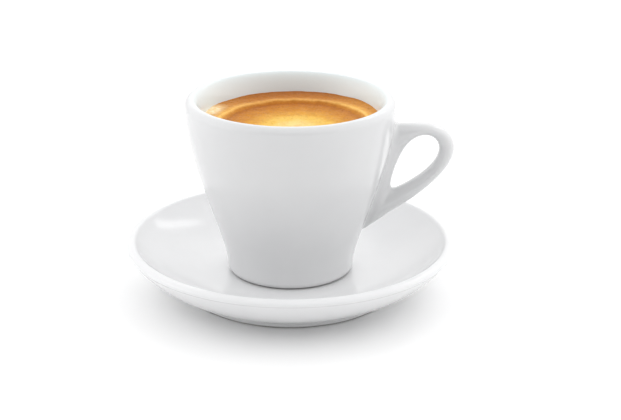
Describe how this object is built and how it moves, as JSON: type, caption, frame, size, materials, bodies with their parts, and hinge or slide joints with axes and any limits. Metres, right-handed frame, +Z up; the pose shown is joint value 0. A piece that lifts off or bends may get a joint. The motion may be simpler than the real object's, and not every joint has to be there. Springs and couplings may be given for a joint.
{
  "type": "espresso shot in cup and saucer",
  "caption": "Espresso with a golden foam in a thick white porcelain cup with a teardrop ear handle, standing on its round saucer.",
  "frame": {"origin": "on the common axis of cup and saucer, in the plane of the table under the saucer's foot ring", "axes": "+Z up, +X towards the cup's handle, the viewed side is -Y"},
  "size_m": [0.1042, 0.1042, 0.0631],
  "materials": {
    "saucer": "white glazed porcelain, high gloss",
    "cup": "white glazed porcelain, high gloss",
    "espresso": "wet fine foam, orange brown at the edge and pale gold in the middle"
  },
  "bodies": {
    "root": {"saucer": "saucer", "cup": "cup", "espresso": "espresso"}
  },
  "joints": []
}
